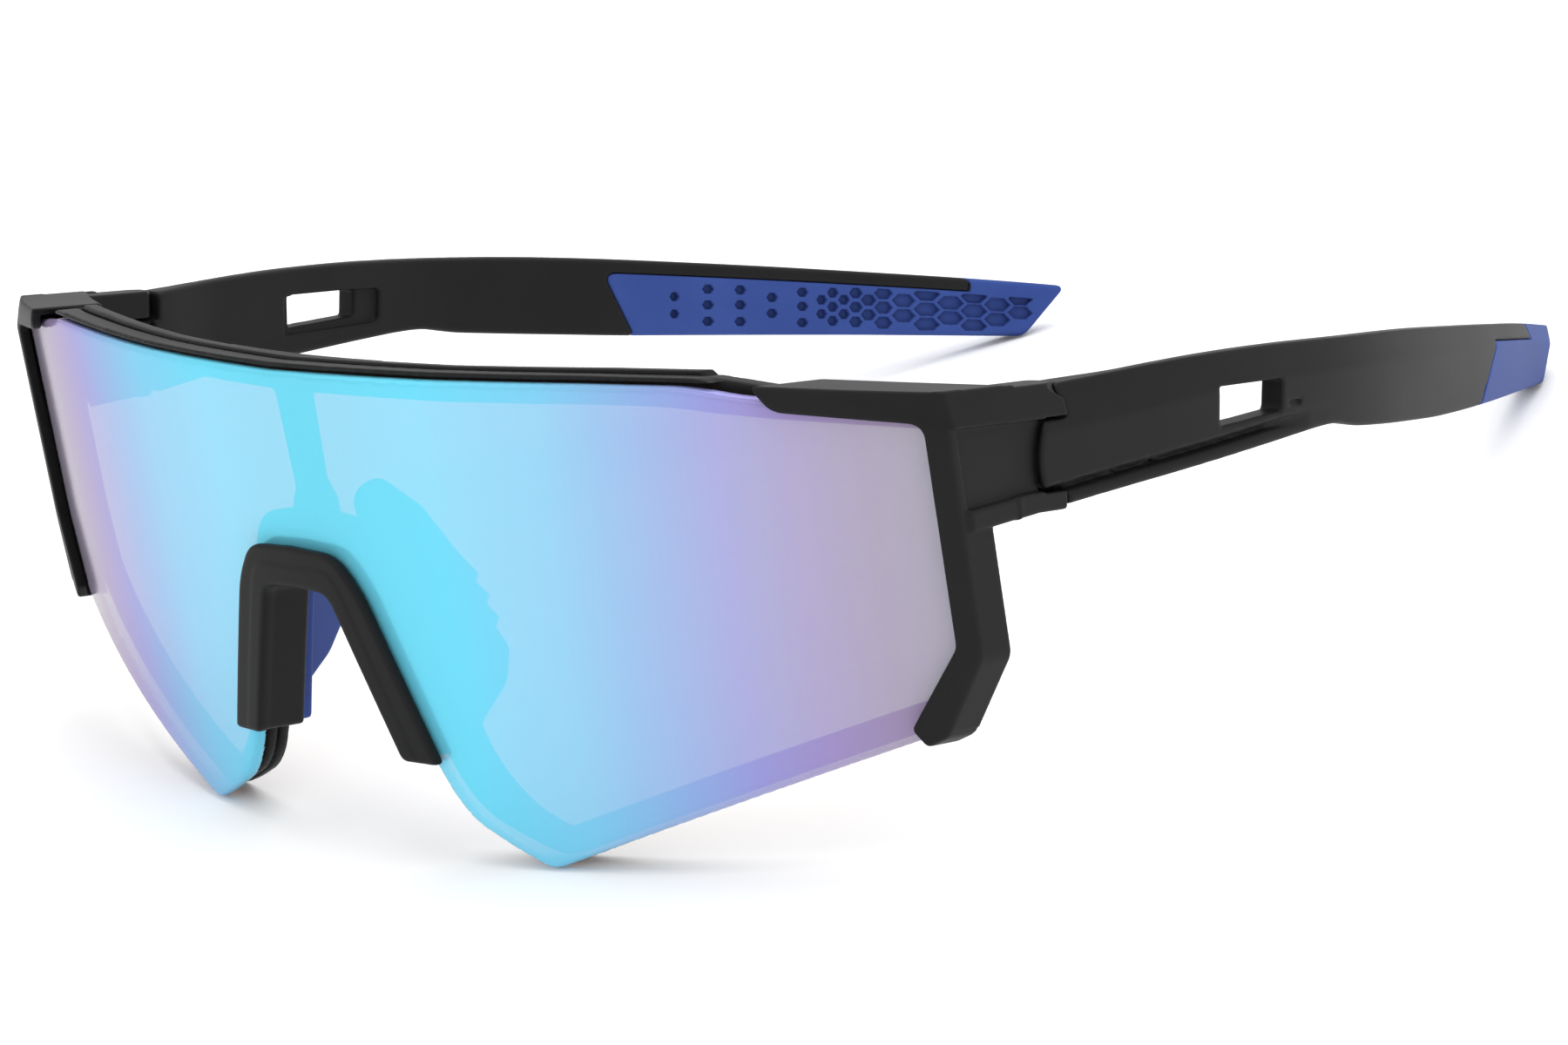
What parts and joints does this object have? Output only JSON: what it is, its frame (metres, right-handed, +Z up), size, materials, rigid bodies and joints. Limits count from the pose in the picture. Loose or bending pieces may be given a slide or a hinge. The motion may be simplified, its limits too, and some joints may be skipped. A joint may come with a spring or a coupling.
{
  "type": "wraparound sport sunglasses",
  "caption": "Sport sunglasses: one wraparound mirrored shield in a full rim, nose bridge cover, soft nose pads and folding vented arms with soft grips.",
  "frame": {"origin": "on the table under the middle of the open glasses' bounding box", "axes": "+Z up from the table, +Y from the lens back along the arms, +X to the wearer's left"},
  "size_m": [0.1514, 0.1706, 0.0549],
  "materials": {
    "mirrored_lens": "mirror-coated polycarbonate, cyan in the middle turning lavender and grey at the sides",
    "black_frame": "satin black moulded nylon",
    "blue_soft": "matt royal blue soft elastomer",
    "steel": "small machined steel fasteners"
  },
  "bodies": {
    "front": {"lens_shield": "mirrored_lens", "front_frame": "black_frame", "brow_bar": "black_frame", "nose_bridge": "black_frame", "endpiece_left": "black_frame", "endpiece_right": "black_frame", "nose_pad_left": "blue_soft", "nose_pad_right": "blue_soft", "hinge_screw_left": "steel", "hinge_screw_right": "steel", "hinge_nut_left": "steel", "hinge_nut_right": "steel"},
    "temple_left": {"temple_arm_left": "black_frame", "temple_grip_left": "blue_soft"},
    "temple_right": {"temple_arm_right": "black_frame", "temple_grip_right": "blue_soft"}
  },
  "joints": [
    {"name": "fold_left", "type": "hinge", "parent": "front", "child": "temple_left", "pos_m": [0.072, -0.04641, 0.03838], "axis": [0, 0.2521, 0.9677], "range_deg": [0, 78]},
    {"name": "fold_right", "type": "hinge", "parent": "front", "child": "temple_right", "pos_m": [-0.072, -0.04641, 0.03838], "axis": [0, -0.2521, -0.9677], "range_deg": [0, 72]}
  ]
}
